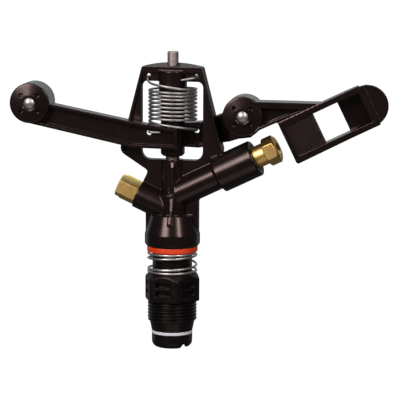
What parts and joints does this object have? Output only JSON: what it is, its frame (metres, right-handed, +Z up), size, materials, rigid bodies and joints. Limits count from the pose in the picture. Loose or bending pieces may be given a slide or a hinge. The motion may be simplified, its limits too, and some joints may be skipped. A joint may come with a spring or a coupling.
{
  "type": "impact sprinkler",
  "caption": "Full-circle impact sprinkler with a male threaded inlet, a turning head with range and spreader nozzles, and a sprung impact arm with balance drums and a water spoon.",
  "frame": {"origin": "on the turning axis, at the underside of the inlet hexagon, where the male thread begins", "axes": "+Z up along the turning axis, +X towards the range nozzle, +Y towards the back of the bridge"},
  "size_m": [0.2014, 0.0384, 0.1594],
  "materials": {
    "dark_plastic": "satin, moulded",
    "white_plastic": "matte",
    "grey_plastic": "matte",
    "orange_rubber": "matte",
    "black_rubber": "matte",
    "spring_steel": "drawn wire",
    "bright_steel": "ground",
    "brass": "machined",
    "cast_weight": "as cast"
  },
  "bodies": {
    "inlet": {"bearing_nipple": "dark_plastic", "thrust_washer": "white_plastic", "bearing_spring": "spring_steel"},
    "carriage": {"dust_ring": "orange_rubber"},
    "head": {"body": "dark_plastic", "bearing_sleeve": "dark_plastic", "sleeve_seal": "black_rubber", "fulcrum_pin": "bright_steel", "fulcrum_bush": "bright_steel", "flow_straightener": "grey_plastic", "range_nozzle": "brass", "range_gasket": "black_rubber", "spreader_nozzle": "brass", "spreader_gasket": "black_rubber", "arm_spring": "spring_steel"},
    "arm": {"impact_arm": "dark_plastic", "left_weight": "cast_weight", "left_weight_cap": "dark_plastic", "left_weight_pin": "bright_steel", "right_weight": "cast_weight", "right_weight_cap": "dark_plastic", "right_weight_pin": "bright_steel"}
  },
  "joints": [
    {"name": "head_press", "type": "slide", "parent": "inlet", "child": "carriage", "axis": [0, 0, -1], "range_m": [0, 0.003], "stiffness_N_per_m": 2000, "springref_m": -0.005, "deforming": ["bearing_spring"]},
    {"name": "head_turn", "type": "hinge", "parent": "carriage", "child": "head", "pos_m": [0, 0, 0], "axis": [0, 0, 1], "continuous": true},
    {"name": "arm_swing", "type": "hinge", "parent": "head", "child": "arm", "pos_m": [0, 0, 0], "axis": [0, 0, 1], "range_deg": [0, 110], "stiffness_Nm_per_rad": 0.12, "springref_deg": -22.92, "deforming": ["arm_spring"]}
  ]
}
